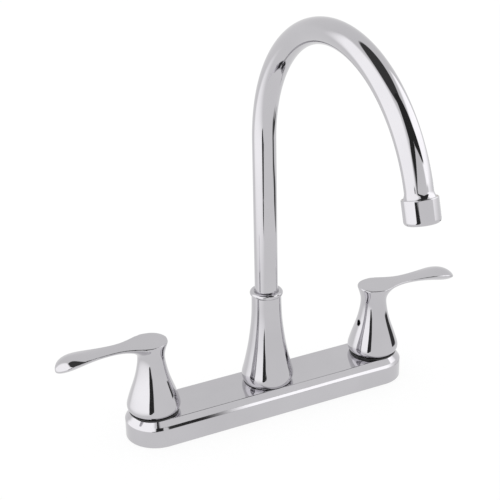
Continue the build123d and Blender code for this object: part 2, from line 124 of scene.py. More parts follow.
# %% The finishes
# Slot: name, darker and lighter tone, metallic, range of roughness, grain and bump
FINISH_TABLE = {
    "chrome": (
        "polished_chrome", (0.585, 0.575, 0.60), (0.615, 0.605, 0.63),
        1.0, (0.03, 0.06), 90, 0.004),
    "brass": (
        "machined_brass", (0.60, 0.42, 0.16), (0.72, 0.53, 0.24),
        1.0, (0.22, 0.38), 900, 0.02),
    "copper_tube": (
        "drawn_copper", (0.62, 0.30, 0.18), (0.74, 0.40, 0.25),
        1.0, (0.25, 0.4), 700, 0.02),
    "steel": (
        "brushed_steel", (0.50, 0.50, 0.49), (0.60, 0.60, 0.59),
        1.0, (0.2, 0.35), 900, 0.01),
    "black_rubber": (
        "moulded_rubber", (0.015, 0.015, 0.016), (0.03, 0.03, 0.031),
        0.0, (0.55, 0.75), 1500, 0.03),
    # The black of the rings under the hubs and the bell also paints the shade in the gap there
    "black_plastic": (
        "black_ring_plastic_gap_shade", (0.012, 0.012, 0.013), (0.02, 0.02, 0.021),
        0.0, (0.25, 0.4), 1200, 0.01),
    "white_nylon": (
        "white_nylon", (0.72, 0.71, 0.68), (0.80, 0.79, 0.76),
        0.0, (0.35, 0.5), 800, 0.02),
    "ceramic": (
        "fired_ceramic", (0.80, 0.79, 0.75), (0.86, 0.85, 0.82),
        0.0, (0.08, 0.16), 600, 0.005),
    "black_oxide": (
        "black_oxide_steel", (0.010, 0.010, 0.011), (0.022, 0.022, 0.023),
        1.0, (0.35, 0.5), 1500, 0.01),
}
FINISHES = {slot_name: finish(*row) for slot_name, row in FINISH_TABLE.items()}
print("finishes:", len(FINISHES))

# %% [markdown]
# ## From points to pieces
# A mesh is a list of points and a list of faces. Blender's ready-made shapes and modifiers give one
# too, but with points from a formula each size can be read here. The first helpers make a mesh at
# the origin, with its place in its points, smooth it and keep its sharp edges crisp. The last one
# makes it a finished piece.

# %% Helpers: a mesh from points, and a finished piece
SHARP = radians(32)      # an edge that bends more than this stays crisp
WELD = 1e-7              # points closer than this, in metres, are one
LOOSE_WELD = 1e-6        # the same for a mesh that comes from elsewhere


def weld(mesh, distance, outwards=False):
    """Joins points closer than a distance in metres. Faces that this folds flat drop out."""
    shape = bmesh.new()
    shape.from_mesh(mesh)
    bmesh.ops.remove_doubles(shape, verts=shape.verts, dist=distance)
    if outwards:
        bmesh.ops.recalc_face_normals(shape, faces=shape.faces)
    shape.to_mesh(mesh)
    shape.free()


def smoothed(mesh):
    """Welds a closed mesh, turns its faces outwards and smooths all but its sharp edges."""
    weld(mesh, WELD, outwards=True)
    mesh.polygons.foreach_set("use_smooth", [True] * len(mesh.polygons))
    mesh.set_sharp_from_angle(angle=SHARP)
    return mesh


def mesh_from(name, points, faces):
    mesh = bpy.data.meshes.new(name)
    mesh.from_pydata([Vector(p) * MM for p in points], [], faces)
    return smoothed(mesh)


def piece(name, mesh, slot, body, *nodes):
    """A finished piece: its finish, the body it rides on and the CAD nodes it stands for."""
    mesh.name = name
    mesh.materials.clear()
    mesh.materials.append(FINISHES[slot])
    obj = bpy.data.objects.new(name, mesh)
    bpy.context.collection.objects.link(obj)
    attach(obj, body)
    if nodes:
        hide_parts(*nodes)
    print(name, "faces:", len(mesh.polygons))


# %% [markdown]
# ## Deck plate
# The plate is a pressed shell with round ends, an upright side, a bevel and a flat top. A block
# with a Bevel modifier would do for a matt part, but chrome shows how each rounding meets the next
# face. The edge is the same all the way round, so one profile is carried round a slot-shaped path:
# each profile point says how far in from the outline it is and how high. Short faces next to each
# rounding hold the flat faces flat, so that their reflections stay straight.

# %% Deck plate: the slot path and the profile
PLATE_LENGTH = 249.6
PLATE_END_R = 25.25
PLATE_TOP = 21.2
PLATE_SIDE_TOP = 15.9
PLATE_BEVEL = 5.8
PLATE_WALL = 2.2
FACET_LOW = 15.0         # height at which a narrow facet under the bevel starts
FACET_IN, FACET_HIGH = 1.65, 17.27   # how far in it ends, and how high
PLATE_EDGE_R = 1.0
PLATE_CREASE_R = 1.0
PLATE_RIM = 0.3
HOLE_R = 11.4
HALF_SPACING = 101.6
END_STEPS = 48
HOLD = 0.25              # length of the short faces that hold a flat face flat
RUN_HOLD = 1.0           # the same at the ends of the plate's straight runs


def rounded(before, corner, after, radius, steps):
    """Points of a rounding of a corner between two straight runs, with a short face at each end."""
    corner = np.array(corner, float)
    back = np.array(before, float) - corner
    ahead = np.array(after, float) - corner
    back /= np.linalg.norm(back)
    ahead /= np.linalg.norm(ahead)
    half = np.arccos(np.clip(back @ ahead, -1, 1)) / 2
    reach = radius / np.tan(half)
    middle = back + ahead
    centre = corner + middle / np.linalg.norm(middle) * radius / np.sin(half)
    start = corner + back * reach - centre
    end = corner + ahead * reach - centre
    turn = np.arctan2(start[0] * end[1] - start[1] * end[0], start @ end)
    points = [corner + back * (reach + HOLD)]
    for i in range(steps + 1):
        a = turn * i / steps
        points.append(centre + np.array((
            start[0] * cos(a) - start[1] * sin(a), start[0] * sin(a) + start[1] * cos(a))))
    return points + [corner + ahead * (reach + HOLD)]


def slot_loop(inset, height):
    """Points round the plate at a distance in from its outline, anticlockwise from +X."""
    radius = PLATE_END_R - inset
    middle = PLATE_LENGTH / 2 - PLATE_END_R
    points = []
    for side in (1, -1):
        for i in range(END_STEPS + 1):
            a = -side * pi / 2 + pi * i / END_STEPS
            points.append((side * middle + radius * cos(a), radius * sin(a), height))
        y = radius * side
        points.append((side * (middle - RUN_HOLD), y, height))
        points.append((-side * (middle - RUN_HOLD), y, height))
    return points


side_low, side_high = (0, PLATE_RIM), (0, FACET_LOW)
bevel_low, bevel_high = (FACET_IN, FACET_HIGH), (PLATE_BEVEL, PLATE_TOP)
middle_line = (PLATE_END_R, PLATE_TOP)
outside = [np.array(side_low), np.array((0, PLATE_RIM + HOLD))]
outside += rounded(side_low, side_high, bevel_low, PLATE_EDGE_R, steps=6)
outside += rounded(side_high, bevel_low, bevel_high, PLATE_EDGE_R, steps=4)
outside += rounded(bevel_low, bevel_high, middle_line, PLATE_CREASE_R, steps=6)
slope = np.arctan((PLATE_TOP - PLATE_SIDE_TOP) / PLATE_BEVEL)
inside = [
    (PLATE_BEVEL + PLATE_WALL * np.tan(slope / 2), PLATE_TOP - PLATE_WALL),
    (PLATE_WALL, PLATE_SIDE_TOP - PLATE_WALL * np.tan((pi / 2 - slope) / 2)),
    (PLATE_WALL, PLATE_RIM),
]
print("plate profile:", len(outside), "points outside,", len(inside), "inside")

# %% Deck plate: the shell, with its three holes
HOLE_STEPS = 48


def plate_shell():
    shape = bmesh.new()

    def loop(points):
        return [shape.verts.new(Vector(p) * MM) for p in points]

    def strip(low, high):
        for i in range(len(low)):
            j = (i + 1) % len(low)
            shape.faces.new((low[i], low[j], high[j], high[i]))

    def skin(outline, holes):
        edges = []
        for ring in [outline] + holes:
            for i in range(len(ring)):
                pair = (ring[i], ring[(i + 1) % len(ring)])
                edges.append(shape.edges.get(pair) or shape.edges.new(pair))
        return bmesh.ops.triangle_fill(shape, edges=edges, use_beauty=True)["geom"]

    # The edge: one loop round the plate for each point of the profile
    rows = [loop(slot_loop(inset, z)) for inset, z in outside + inside]
    last_out = len(outside) - 1
    for k in range(len(rows) - 1):
        if k != last_out:
            strip(rows[k], rows[k + 1])
    strip(rows[-1], rows[0])

    # The holes, and the flat faces over and under them
    angles = [2 * pi * i / HOLE_STEPS for i in range(HOLE_STEPS)]
    holes = []
    for z in (PLATE_TOP, PLATE_TOP - PLATE_WALL):
        holes.append([loop([(x + HOLE_R * cos(a), HOLE_R * sin(a), z) for a in angles])
                      for x in (-HALF_SPACING, 0, HALF_SPACING)])
    for high, low in zip(*holes):
        strip(high, low)
    flats = skin(rows[last_out], holes[0]) + skin(rows[last_out + 1], holes[1])

    bmesh.ops.recalc_face_normals(shape, faces=shape.faces)
    for face in shape.faces:
        face.smooth = True
    for item in flats:
        if isinstance(item, bmesh.types.BMFace):
            item.smooth = False
    mesh = bpy.data.meshes.new("deck_plate_shell")
    shape.to_mesh(mesh)
    shape.free()
    mesh.set_sharp_from_angle(angle=SHARP)
    return mesh


piece("deck_plate_shell", plate_shell(), "chrome", "base", "deck_plate")

# %% [markdown]
# ## Turned pieces
# The bell under the spout, its collar, the dark rings and the aerator's sleeve are all round, so
# each is half a section spun about an axis, as on a lathe. Blender's Screw modifier does that too.
# A loop of our own joins the last step to the first, with no seam to merge. The flared sides go
# through a few measured points, and a cubic curve through them keeps the bell free of kinks.


# %% Helpers: a smooth curve through points, an arc, and the spin
def smooth_through(points, first, last, steps):
    """A cubic curve through points with given directions at its ends, by chord length."""
    p = np.array(points, float)
    t = np.concatenate(([0], np.cumsum(np.linalg.norm(np.diff(p, axis=0), axis=1))))
    n = len(p)
    h = np.diff(t)

    # The direction at each point, such that the bend is the same on both sides of it
    a = np.zeros((n, n))
    b = np.zeros((n, 2))
    a[0, 0] = a[-1, -1] = 1
    b[0] = np.array(first, float) / np.linalg.norm(first)
    b[-1] = np.array(last, float) / np.linalg.norm(last)
    for i in range(1, n - 1):
        a[i, i - 1:i + 2] = h[i], 2 * (h[i - 1] + h[i]), h[i - 1]
        b[i] = 3 * (h[i] * (p[i] - p[i - 1]) / h[i - 1] + h[i - 1] * (p[i + 1] - p[i]) / h[i])
    d = np.linalg.solve(a, b)

    # Even steps along the curve, each on the cubic between its two neighbouring points
    at = np.linspace(0, t[-1], steps + 1)
    k = np.clip(np.searchsorted(t, at, side="right") - 1, 0, n - 2)
    u = ((at - t[k]) / h[k])[:, None]
    hk = h[k][:, None]
    return ((2 * u**3 - 3 * u**2 + 1) * p[k] + (u**3 - 2 * u**2 + u) * hk * d[k]
            + (3 * u**2 - 2 * u**3) * p[k + 1] + (u**3 - u**2) * hk * d[k + 1])


def foot_arc(bottom_r, bottom, wide_r, wide_z, steps=10):
    """Rounded foot of a bell, from its bottom edge up to its widest place, where it is upright."""
    middle = (wide_r**2 - bottom_r**2 - (wide_z - bottom)**2) / (2 * (wide_r - bottom_r))
    radius = wide_r - middle
    low = np.arcsin((bottom - wide_z) / radius)
    angles = np.linspace(low, 0, steps + 1)
    return [(middle + radius * cos(a), wide_z + radius * sin(a)) for a in angles]


def arc_through(a, b, c, steps):
    """Points of the arc from a through b to c."""
    (ax, ay), (bx, by), (cx, cy) = a, b, c
    d = 2 * (ax * (by - cy) + bx * (cy - ay) + cx * (ay - by))
    sa, sb, sc = ax**2 + ay**2, bx**2 + by**2, cx**2 + cy**2
    ux = (sa * (by - cy) + sb * (cy - ay) + sc * (ay - by)) / d
    uy = (sa * (cx - bx) + sb * (ax - cx) + sc * (bx - ax)) / d
    radius = hypot(ax - ux, ay - uy)
    t0, t1, t2 = (atan2(y - uy, x - ux) for x, y in (a, b, c))
    t1 += 2 * pi * round((t0 - t1) / (2 * pi))
    t2 += 2 * pi * round((t1 - t2) / (2 * pi))
    return [(ux + radius * cos(t), uy + radius * sin(t)) for t in np.linspace(t0, t2, steps + 1)]


def spun(name, section, place=(0, 0, 0), axis=(0, 0, 1), steps=96):
    """A closed section of (radius, height) points, spun about an axis."""
    turn = Vector((0, 0, 1)).rotation_difference(Vector(axis)).to_matrix()
    points, faces = [], []
    n = len(section)
    for i in range(steps):
        a = 2 * pi * i / steps
        for r, z in section:
            points.append(turn @ Vector((r * cos(a), r * sin(a), z)) + Vector(place))
        j = (i + 1) % steps
        for k in range(n):
            m = (k + 1) % n
            faces.append((i * n + k, j * n + k, j * n + m, i * n + m))
    return mesh_from(name, points, faces)


# %% Black rings between the plate and what stands on it, whose black also paints the shaded gap under the hubs and the bell
HUB_RING_R, HUB_RING_T = 19.8, 1.2
BASE_RING_R, BASE_RING_T = 19.6, 0.6
RING_EDGE = 0.2


def flat_ring(name, radius, bore, low, high, place):
    e = RING_EDGE
    section = [(bore, low), (radius - e, low), (radius, low + e)]
    section += [(radius, high - e), (radius - e, high), (bore, high)]
    return spun(name, section, place)


RINGS = [
    ("left_hub_ring", HUB_RING_R, -HALF_SPACING, HUB_RING_T),
    ("right_hub_ring", HUB_RING_R, HALF_SPACING, HUB_RING_T),
    ("spout_base_ring", BASE_RING_R, 0.0, BASE_RING_T),
]
# Each ring is black plastic, and its black side also paints the shaded gap under the hub or the
# bell
for ring_name, ring_r, ring_x, ring_t in RINGS:
    ring = flat_ring(ring_name, ring_r, HOLE_R, PLATE_TOP, PLATE_TOP + ring_t, (ring_x, 0, 0))
    piece("gap_shade_" + ring_name, ring, "black_plastic", "base", ring_name)

# %% Spout bell
BELL_BOTTOM_R = 19.8
BELL_BOTTOM = PLATE_TOP + BASE_RING_T
BELL_WIDE = (21.3, 27.2)
BELL_SIDE = [(20.4, 32.0), (18.0, 42.0), (15.95, 52.0), (14.35, 62.0), (13.1, 72.0), (12.3, 82.0)]
BELL_TOP = (11.9, 98.3)
BELL_WALL = 2.2
HOLLOW_LOW, HOLLOW_HIGH, HOLLOW_R = 33.0, 78.0, 18.0   # hollow inside, and its radius below
NECK_BORE = 11.05
TOP_BORE = 10.6

bell_points = [BELL_WIDE] + BELL_SIDE + [BELL_TOP]
bell_end = np.subtract(BELL_TOP, BELL_SIDE[-1])
bell = foot_arc(BELL_BOTTOM_R, BELL_BOTTOM, *BELL_WIDE)[:-1]
bell += [tuple(p) for p in smooth_through(bell_points, (0, 1), bell_end, steps=60)]
inner = [(TOP_BORE, BELL_TOP[1]), (TOP_BORE, HOLLOW_HIGH)]
inner += [(r - BELL_WALL, z) for r, z in reversed(BELL_SIDE) if HOLLOW_LOW < z < HOLLOW_HIGH]
inner += [(HOLLOW_R, HOLLOW_LOW), (NECK_BORE, HOLLOW_LOW), (NECK_BORE, BELL_BOTTOM)]
piece("spout_bell", spun("spout_bell", bell + inner), "chrome", "base", "spout_base")

# %% Collar round the foot of the tube
COLLAR_BORE = 9.3
COLLAR_BEAD = (13.3, 100.25)
COLLAR_RIM = (9.55, 101.45)
COLLAR_SLEEVE = (10.55, 81.0)
collar = arc_through(BELL_TOP, COLLAR_BEAD, COLLAR_RIM, steps=36)
collar += [(COLLAR_BORE, COLLAR_RIM[1]), (COLLAR_BORE, COLLAR_SLEEVE[1])]
collar += [COLLAR_SLEEVE, (COLLAR_SLEEVE[0], BELL_TOP[1])]
bead = spun("spout_collar_bead", collar)
piece("spout_collar_bead", bead, "chrome", "base", "spout_collar")

# %% [markdown]
# ## Gooseneck
# The spout is one bent tube: a straight riser, a bend of one radius and a short straight end that
# flares a little. A curve's own bevel would draw its outside, but not its wall. A tube is a circle
# carried along a path, which is what Geometry Nodes' Curve to Mesh does, so the path is a plain
# curve, and the tree adds the circle and the wall.

# %% The path of the tube, and how much wider it is at each point
TUBE_R = 9.25
TUBE_WALL = 1.2
TUBE_BOTTOM = 80.0
RISER_TOP = 228.4
BEND_R = 105.0
BEND_ANGLE = radians(164.0)
OUTLET_RUN = 4.0
FLARE = 1.4              # added to the radius at the outlet
RISER_POINTS, BEND_POINTS, FLARE_POINTS = 15, 141, 8
OUTLET = Vector((0, -BEND_R * (1 - cos(BEND_ANGLE)), RISER_TOP + BEND_R * sin(BEND_ANGLE)))
OUTLET_AXIS = Vector((0, -sin(BEND_ANGLE), cos(BEND_ANGLE)))

riser = np.linspace(TUBE_BOTTOM, RISER_TOP, RISER_POINTS + 1)[:-1]
path = [(Vector((0, 0, z)), 1.0) for z in riser]
for a in np.linspace(0, BEND_ANGLE, BEND_POINTS):
    path.append((Vector((0, -BEND_R * (1 - cos(a)), RISER_TOP + BEND_R * sin(a))), 1.0))
for u in np.linspace(0, 1, FLARE_POINTS + 1)[1:]:
    path.append((OUTLET + OUTLET_AXIS * OUTLET_RUN * u, 1.0 + FLARE / TUBE_R * u * u))
print("tube path points:", len(path))


# %% Geometry Nodes: a tube along a curve
def tube_tree():
    tree = bpy.data.node_groups.new("bent_tube", "GeometryNodeTree")
    face = tree.interface
    face.new_socket("Path", in_out="INPUT", socket_type="NodeSocketGeometry")
    for label in ("Outer radius", "Wall"):
        face.new_socket(label, in_out="INPUT", socket_type="NodeSocketFloat")
    face.new_socket("Sides", in_out="INPUT", socket_type="NodeSocketInt")
    face.new_socket("Finish", in_out="INPUT", socket_type="NodeSocketMaterial")
    face.new_socket("Tube", in_out="OUTPUT", socket_type="NodeSocketGeometry")
    add = tree.nodes.new
    link = tree.links.new
    given, result = add("NodeGroupInput"), add("NodeGroupOutput")

    # The outside: a circle carried along the path
    circle = add("GeometryNodeCurvePrimitiveCircle")
    link(given.outputs["Sides"], circle.inputs["Resolution"])
    link(given.outputs["Outer radius"], circle.inputs["Radius"])
    width = add("GeometryNodeInputRadius")
    sweep = add("GeometryNodeCurveToMesh")
    link(given.outputs["Path"], sweep.inputs["Curve"])
    link(circle.outputs["Curve"], sweep.inputs["Profile Curve"])
    link(width.outputs["Radius"], sweep.inputs["Scale"])

    # The wall: the outside pushed inwards gives the bore and the ends
    inward = add("ShaderNodeMath")
    inward.operation = "MULTIPLY"
    inward.inputs[1].default_value = -1.0
    link(given.outputs["Wall"], inward.inputs[0])
    wall = add("GeometryNodeExtrudeMesh")
    wall.inputs["Individual"].default_value = False
    link(sweep.outputs["Mesh"], wall.inputs["Mesh"])
    link(inward.outputs[0], wall.inputs["Offset Scale"])
    bore = add("GeometryNodeFlipFaces")
    link(wall.outputs["Mesh"], bore.inputs["Mesh"])
    both = add("GeometryNodeJoinGeometry")
    link(bore.outputs["Mesh"], both.inputs["Geometry"])
    link(sweep.outputs["Mesh"], both.inputs["Geometry"])
    merge = add("GeometryNodeMergeByDistance")
    merge.inputs["Distance"].default_value = LOOSE_WELD
    link(both.outputs["Geometry"], merge.inputs["Geometry"])

    # Plain geometry with its finish
    real = add("GeometryNodeRealizeInstances")
    link(merge.outputs["Geometry"], real.inputs["Geometry"])
    paint = add("GeometryNodeSetMaterial")
    link(real.outputs["Geometry"], paint.inputs["Geometry"])
    link(given.outputs["Finish"], paint.inputs["Material"])
    link(paint.outputs["Geometry"], result.inputs["Tube"])
    return tree


def grown(name, base, tree, inputs):
    """The mesh that a tree makes of an object, as plain data. The object is removed again."""
    obj = bpy.data.objects.new(name, base)
    bpy.context.collection.objects.link(obj)
    modifier = obj.modifiers.new("nodes", "NODES")
    modifier.node_group = tree
    for item in tree.interface.items_tree:
        if item.in_out == "INPUT" and item.name in inputs:
            modifier[item.identifier] = inputs[item.name]
    graph = bpy.context.evaluated_depsgraph_get()
    mesh = bpy.data.meshes.new_from_object(obj.evaluated_get(graph), depsgraph=graph)
    bpy.data.objects.remove(obj)
    return mesh


def poly_curve(name, points):
    """A curve of straight pieces through (place, width) pairs."""
    curve = bpy.data.curves.new(name, "CURVE")
    curve.dimensions = "3D"
    spline = curve.splines.new("POLY")
    spline.points.add(len(points) - 1)
    for point, (place, width) in zip(spline.points, points):
        point.co = (*(place * MM), 1)
        point.radius = width
    return curve


TUBE_SIDES = 64
bent = grown("gooseneck_path", poly_curve("gooseneck_path", path), tube_tree(), {
    "Outer radius": TUBE_R * MM, "Wall": TUBE_WALL * MM, "Sides": TUBE_SIDES,
    "Finish": FINISHES["chrome"]})
piece("gooseneck", smoothed(bent), "chrome", "spout", "spout_tube")

# %% [markdown]
# ## Aerator sleeve
# The sleeve on the tube's end is a turned cup with a rounded lower edge. A bevelled cylinder would
# give its outside. A spun section also gives the lip round its mouth, so it is spun as the bell is,
# but about the outlet's own axis, which leans a little from upright.

# %% Aerator sleeve
SLEEVE_R, SLEEVE_BORE = 11.9, 10.85
SLEEVE_TOP, SLEEVE_END = 3.8, 20.4
SLEEVE_BEAD, SLEEVE_ROUND = 0.7, 2.6   # roundings of the upper and the lower edge
TOP_BEVEL, TOP_BEVEL_R = 0.4, 11.0     # bevel inside the upper edge
MOUTH_R, MOUTH_EDGE, MOUTH_LIP = 8.8, 0.3, 1.4

top_in, top_out = (0, SLEEVE_TOP), (SLEEVE_R, SLEEVE_TOP)
end_in, end_out = (0, SLEEVE_END), (SLEEVE_R, SLEEVE_END)
upper = rounded(top_in, top_out, end_out, SLEEVE_BEAD, steps=6)[1:]
lower = rounded(top_out, end_out, end_in, SLEEVE_ROUND, steps=10)[:-1]
cup = [(SLEEVE_BORE, SLEEVE_TOP + TOP_BEVEL), (TOP_BEVEL_R, SLEEVE_TOP)]
cup += [tuple(p) for p in upper + lower]
cup += [(MOUTH_R + MOUTH_EDGE, SLEEVE_END), (MOUTH_R, SLEEVE_END - MOUTH_EDGE)]
cup += [(MOUTH_R, SLEEVE_END - MOUTH_LIP), (SLEEVE_BORE, SLEEVE_END - MOUTH_LIP)]
sleeve = spun("aerator_sleeve", cup, OUTLET, OUTLET_AXIS)
piece("aerator_sleeve", sleeve, "chrome", "spout", "aerator_housing")

# %% [markdown]
# ## Handles
# A handle is one casting: a hollow flared hub that runs into a spoon-backed lever, with no seam.
# Two meshes pushed into each other would leave a hard line there. A distance field has none: it
# is a formula that is zero on the surface, negative inside and positive outside, and two fields
# blend with a soft minimum. The CAD handle is turned into an even mesh by a voxel remesh, every
# point of that is moved onto the field's zero, and the field's slope gives the exact normals.
# The last rows of the lever's table are up to about a millimetre fuller than the CAD's, because
# the lever's tip in the photograph is.

# %% Handle: hub side and lever sections
HUB_BOTTOM = 22.7
HUB_BOTTOM_R = 19.0
HUB_WIDE = (21.3, 27.0)
HUB_SIDE = [(20.3, 32.0), (18.4, 38.0), (14.3, 50.0), (11.5, 62.0), (10.9, 71.0)]
HUB_TOP = 83.0
HUB_TOP_R = 13.6
HUB_WALL = 2.2
CAVITY_TOP = 57.0
BOSS_R, BOSS_BOTTOM = 7.0, 40.0
SOCKET_R, SOCKET_TOP = 4.05, 58.0
SCREW_Z, SCREW_HOLE_R, SCREW_PAD_R = 50.0, 2.55, 4.5
EDGE_SPARE = 0.48        # added to the widths, because rounding an edge takes that much off
# Distance out, half width, drop of the edge, crown above the edge and belly below it
LEVER = np.array([
    (0.0, 12.8, 0.3, 0.3, 8.7),
    (9.0, 11.7, 0.3, 0.3, 7.9),
    (20.0, 8.5, 0.3, 0.3, 5.6),
    (33.0, 7.4, 0.3, 0.3, 4.4),
    (46.0, 8.6, 0.4, 1.1, 5.1),
    (57.0, 10.4, 0.8, 2.4, 6.4),
    (65.0, 10.9, 1.8, 3.4, 6.9),
    (70.5, 9.6, 3.3, 3.2, 5.9),
    (74.0, 7.0, 4.8, 2.4, 4.4),
    (76.2, 3.7, 6.2, 1.4, 2.4),
])

FOOT_STEPS, SIDE_STEPS, LEVER_STEPS = 200, 2000, 1500   # fine enough to look values up in
SHALLOW = 0.001          # scale of a column while its curve is made, so that it can't double back
BEYOND = 8.0             # length that a curve of the lever goes on past the tip

hub_points = [HUB_WIDE] + HUB_SIDE + [(HUB_TOP_R + EDGE_SPARE, HUB_TOP)]
hub_end = np.subtract(hub_points[-1], hub_points[-2])
hub_foot = foot_arc(HUB_BOTTOM_R, HUB_BOTTOM, *HUB_WIDE, steps=FOOT_STEPS)[:-1]
hub_curve = np.vstack((hub_foot, smooth_through(hub_points, (0, 1), hub_end, SIDE_STEPS)))
hub_slope = np.gradient(hub_curve[:, 0], hub_curve[:, 1])


def lever_row(column):
    """A smooth curve of one column of the lever's table over the distance out."""
    rows = np.column_stack((LEVER[:, 0], column * SHALLOW))
    first, last = rows[1] - rows[0], rows[-1] - rows[-2]
    curve = smooth_through(rows, first, last, LEVER_STEPS)
    curve[:, 1] /= SHALLOW
    step = curve[-1] - curve[-2]
    return np.vstack((curve, curve[-1] + step / step[0] * BEYOND))


half_width = LEVER[:, 1] + EDGE_SPARE
LEVER_WIDTH2 = lever_row(half_width**2)
LEVER_TAPER = LEVER_WIDTH2.copy()
LEVER_TAPER[:, 1] = np.gradient(LEVER_WIDTH2[:, 1], LEVER_WIDTH2[:, 0])
LEVER_EDGE = lever_row(HUB_TOP - LEVER[:, 2])
LEVER_CROWN = lever_row(LEVER[:, 3] / half_width)
LEVER_BELLY = lever_row(LEVER[:, 4] / half_width)
print("hub curve:", len(hub_curve), "points; lever:", len(LEVER_EDGE))


# %% Handle: the distance field, with the lever along +X
def soft_min(a, b, size):
    near = np.maximum(size - np.abs(a - b), 0) / size
    return np.minimum(a, b) - near * near * size / 4


def soft_max(a, b, size):
    return -soft_min(-a, -b, size)


BLEND = 5.0              # between the hub and the underside of the lever
ROOT, ROOT_FADE = 6.0, 0.06   # the lever's underside fades out behind this distance
RIM = 1.6                # rounding of the upper edge
CRISP = 0.4              # rounding of small edges
TAPER_FROM, TAPER_FULL = 40.0, 60.0   # the lever's taper counts more and more between these
THIN, THIN_BACK = 0.01, 3.0   # least width squared, in front of the hub's axis and behind it


def handle_field(p):
    x, y, z = p.T

    # The hub: how far out from its flared side
    out = np.hypot(x, y)
    radius = np.interp(z, hub_curve[:, 1], hub_curve[:, 0])
    lean = np.interp(z, hub_curve[:, 1], hub_slope)
    hub = (out - radius) / np.sqrt(1 + lean**2)

    # The lever: a crown over its edge and a belly under it, both round across its width
    along = np.maximum(x, 0)
    lever2 = np.interp(along, *LEVER_WIDTH2.T)
    width2 = lever2 - np.minimum(x, 0)**2
    edge = np.interp(along, *LEVER_EDGE.T)
    counts = np.clip((x - TAPER_FROM) / (TAPER_FULL - TAPER_FROM), 0, 1)
    taper = np.interp(along, *LEVER_TAPER.T) * counts
    least = np.where(x > 0, THIN, THIN_BACK)
    full = np.maximum(width2, least) / np.sqrt(np.maximum(lever2, THIN))
    flat_over = full / np.interp(along, *LEVER_CROWN.T)
    flat_under = full / np.interp(along, *LEVER_BELLY.T)
    bend2 = taper**2 + 4 * y * y
    under = ((edge - z) * flat_under + y * y - width2) / np.sqrt(bend2 + flat_under**2)
    under += ROOT_FADE * np.maximum(ROOT - x, 0)**2
    over = ((z - edge) * flat_over + y * y - width2) / np.sqrt(bend2 + flat_over**2)
    solid = soft_max(soft_min(hub, under, BLEND), over, RIM)
    solid = soft_max(solid, HUB_BOTTOM - z, CRISP)

    # The inside: the hollow round the boss, the stem's socket and the set screw's hole
    to_screw = np.hypot(y, z - SCREW_Z)
    pad = np.maximum(to_screw - SCREW_PAD_R, x)
    boss = np.minimum(np.maximum(out - BOSS_R, BOSS_BOTTOM - z), pad)
    cavity = np.maximum(np.maximum(hub + HUB_WALL, z - CAVITY_TOP), -boss)
    bore = np.maximum(out - SOCKET_R, z - SOCKET_TOP)
    hole = np.maximum(to_screw - SCREW_HOLE_R, x)
    for cut in (cavity, bore, hole):
        solid = soft_max(solid, -cut, CRISP)
    return solid


def field_slope(p, step=0.02):
    sides = []
    for axis in range(3):
        move = np.zeros(3)
        move[axis] = step
        sides.append((handle_field(p + move) - handle_field(p - move)) / (2 * step))
    return np.column_stack(sides)


# %% Handle: an even mesh from the CAD handle, moved onto the field
VOXEL = 0.6 * MM
LEFT_TURN = radians(180 - 1.4)   # the levers stand a little off straight, as in the photograph
RIGHT_TURN = radians(-2.6)
ROUNDS = 12              # moves of each point towards the surface
LONGEST_MOVE = 0.5       # in mm
LEAST_SLOPE2 = 0.2       # slope squared, so that no point is thrown far
FOLD = 5e-6              # points of a folded face lie closer than this, in metres


def handle_mesh():
    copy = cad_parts["left_handle"].data.copy()
    weld(copy, LOOSE_WELD)
    to_axis = Matrix.Translation((HALF_SPACING * MM, 0, 0))
    copy.transform(Matrix.Rotation(-LEFT_TURN, 4, "Z") @ to_axis)
    rough = bpy.data.objects.new("rough_handle", copy)
    bpy.context.collection.objects.link(rough)
    remesh = rough.modifiers.new("even", "REMESH")
    remesh.mode = "VOXEL"
    remesh.voxel_size = VOXEL
    graph = bpy.context.evaluated_depsgraph_get()
    even = bpy.data.meshes.new_from_object(rough.evaluated_get(graph), depsgraph=graph)
    bpy.data.objects.remove(rough)
    return even


def points_of(mesh):
    points = np.empty(len(mesh.vertices) * 3)
    mesh.vertices.foreach_get("co", points)
    return points.reshape(-1, 3) / MM


even = handle_mesh()
points = points_of(even)
for _ in range(ROUNDS):
    slope_at = field_slope(points)
    length2 = np.maximum((slope_at**2).sum(1), LEAST_SLOPE2)
    move = np.clip(handle_field(points), -LONGEST_MOVE, LONGEST_MOVE)
    points -= slope_at * move[:, None] / length2[:, None]
even.vertices.foreach_set("co", (points * MM).ravel())
weld(even, FOLD)
points = points_of(even)
normals = field_slope(points)
normals /= np.linalg.norm(normals, axis=1)[:, None]
print("handle points:", len(points), "furthest off:", float(np.abs(handle_field(points)).max()))

# %% Handle: one for each side
SIDES = (("left", -HALF_SPACING, LEFT_TURN), ("right", HALF_SPACING, RIGHT_TURN))
for side, place, turn in SIDES:
    c, s = cos(turn), sin(turn)
    spin = np.array(((c, -s, 0), (s, c, 0), (0, 0, 1)))
    mesh = even.copy()
    moved = points @ spin.T + np.array((place, 0, 0))
    mesh.vertices.foreach_set("co", (moved * MM).ravel())
    mesh.polygons.foreach_set("use_smooth", [True] * len(mesh.polygons))
    mesh.update()   # before the normals, which are set on the moved points
    mesh.normals_split_custom_set_from_vertices((normals @ spin.T).tolist())
    piece(f"{side}_lever_handle", mesh, "chrome", f"{side}_handle_set", f"{side}_handle")

# %% [markdown]
# ## Pieces kept from the CAD model
# The working parts are hidden: valve bodies, cartridges, seals, nuts and pipes. They could be made
# again as well, but their CAD shapes are right. So they stay and only get a finish, by the slot
# that the record gives each of them.

